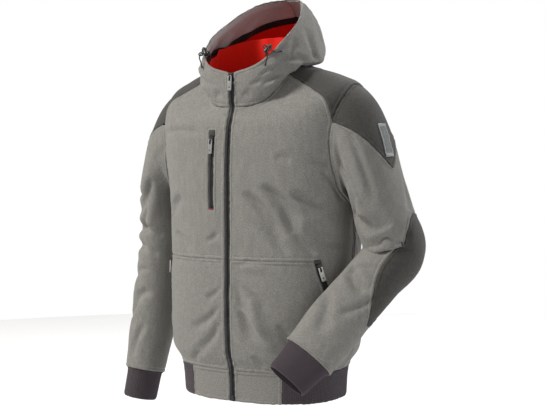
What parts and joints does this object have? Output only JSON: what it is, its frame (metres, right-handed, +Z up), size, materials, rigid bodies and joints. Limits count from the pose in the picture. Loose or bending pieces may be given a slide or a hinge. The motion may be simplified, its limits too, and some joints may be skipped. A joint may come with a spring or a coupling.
{
  "type": "hooded softshell jacket",
  "caption": "Hooded softshell jacket, zipped up and filled out as if worn, one sleeve bent to the front pocket, with dark shoulders and elbow patches and ribbed hem and cuffs.",
  "frame": {"origin": "on the body's upright middle line, level with the top of the front zip, between the wearer's shoulders", "axes": "+Z up, -Y the way the wearer faces, +X to the wearer's left"},
  "size_m": [0.654, 0.3719, 0.8444],
  "materials": {
    "grey_cloth": "bonded softshell, fine grey melange, matt",
    "dark_cloth": "bonded softshell, charcoal, matt",
    "rib_knit": "knitted rib, dark purplish grey",
    "red_lining": "smooth red lining cloth",
    "facing_cloth": "grey cloth, back side",
    "tape": "black woven tape",
    "zip_tape": "black woven zip tape with moulded teeth",
    "zip_metal": "black enamelled die-cast zip slider",
    "pull_metal": "satin nickel",
    "badge": "woven badge, bare",
    "plastic": "black moulded plastic",
    "cord_knit": "black braided elastic cord"
  },
  "bodies": {
    "jacket": {"front_left": "grey_cloth", "front_right": "grey_cloth", "pouch_left": "grey_cloth", "pouch_right": "grey_cloth", "pocket_zip_left": "zip_tape", "pocket_zip_right": "zip_tape", "chest_zip": "zip_tape", "back": "grey_cloth", "yoke_left": "dark_cloth", "yoke_right": "dark_cloth", "hem_band_left": "grey_cloth", "hem_band_right": "grey_cloth", "hem_rib": "rib_knit", "sleeve_left": "grey_cloth", "sleeve_right": "grey_cloth", "elbow_patch_left": "dark_cloth", "elbow_patch_right": "dark_cloth", "sleeve_cap_left": "dark_cloth", "sleeve_cap_right": "dark_cloth", "cuff_left": "rib_knit", "cuff_right": "rib_knit", "sleeve_badge": "badge", "hood_left": "grey_cloth", "hood_right": "grey_cloth", "hood_centre": "grey_cloth", "hood_facing": "facing_cloth", "hood_tape": "tape", "hood_lining": "red_lining", "collar_lining": "red_lining", "front_zip": "zip_tape", "front_slider": "zip_metal", "chest_slider": "zip_metal", "pocket_left_slider": "zip_metal", "pocket_right_slider": "zip_metal", "zip_box": "plastic", "chest_garage": "dark_cloth", "pocket_garage_left": "dark_cloth", "pocket_garage_right": "dark_cloth", "lock_left": "plastic", "lock_right": "plastic", "cord_left_a": "cord_knit", "cord_left_b": "cord_knit", "cord_right_a": "cord_knit", "cord_right_b": "cord_knit", "cord_tip_left_a": "plastic", "cord_tip_left_b": "plastic", "cord_tip_right_a": "plastic", "cord_tip_right_b": "plastic"},
    "front_pull": {"front_pull": "pull_metal"},
    "chest_pull": {"chest_pull": "pull_metal"},
    "pocket_left_pull": {"pocket_left_pull": "pull_metal"},
    "pocket_right_pull": {"pocket_right_pull": "pull_metal"},
    "lock_button_left": {"lock_button_left": "plastic"},
    "lock_button_right": {"lock_button_right": "plastic"}
  },
  "joints": [
    {"name": "front_pull_hinge", "type": "hinge", "parent": "jacket", "child": "front_pull", "pos_m": [0, -0.13575, -0.00783], "axis": [-1, 0, 0], "range_deg": [0, 150]},
    {"name": "chest_pull_hinge", "type": "hinge", "parent": "jacket", "child": "chest_pull", "pos_m": [-0.03803, -0.14657, -0.12984], "axis": [-0.9991, 0.043, -0.0038], "range_deg": [0, 150]},
    {"name": "pocket_left_pull_hinge", "type": "hinge", "parent": "jacket", "child": "pocket_left_pull", "pos_m": [0.17443, -0.0897, -0.37359], "axis": [-0.5892, -0.7468, -0.3085], "range_deg": [0, 150]},
    {"name": "pocket_right_pull_hinge", "type": "hinge", "parent": "jacket", "child": "pocket_right_pull", "pos_m": [-0.17443, -0.0897, -0.37359], "axis": [-0.5892, 0.7468, 0.3085], "range_deg": [0, 150]},
    {"name": "lock_button_left_press", "type": "slide", "parent": "jacket", "child": "lock_button_left", "axis": [-0.5664, -0.3403, -0.7506], "range_m": [0, 0.0024], "stiffness_N_per_m": 300},
    {"name": "lock_button_right_press", "type": "slide", "parent": "jacket", "child": "lock_button_right", "axis": [0.5664, -0.3403, -0.7506], "range_m": [0, 0.0024], "stiffness_N_per_m": 300}
  ]
}
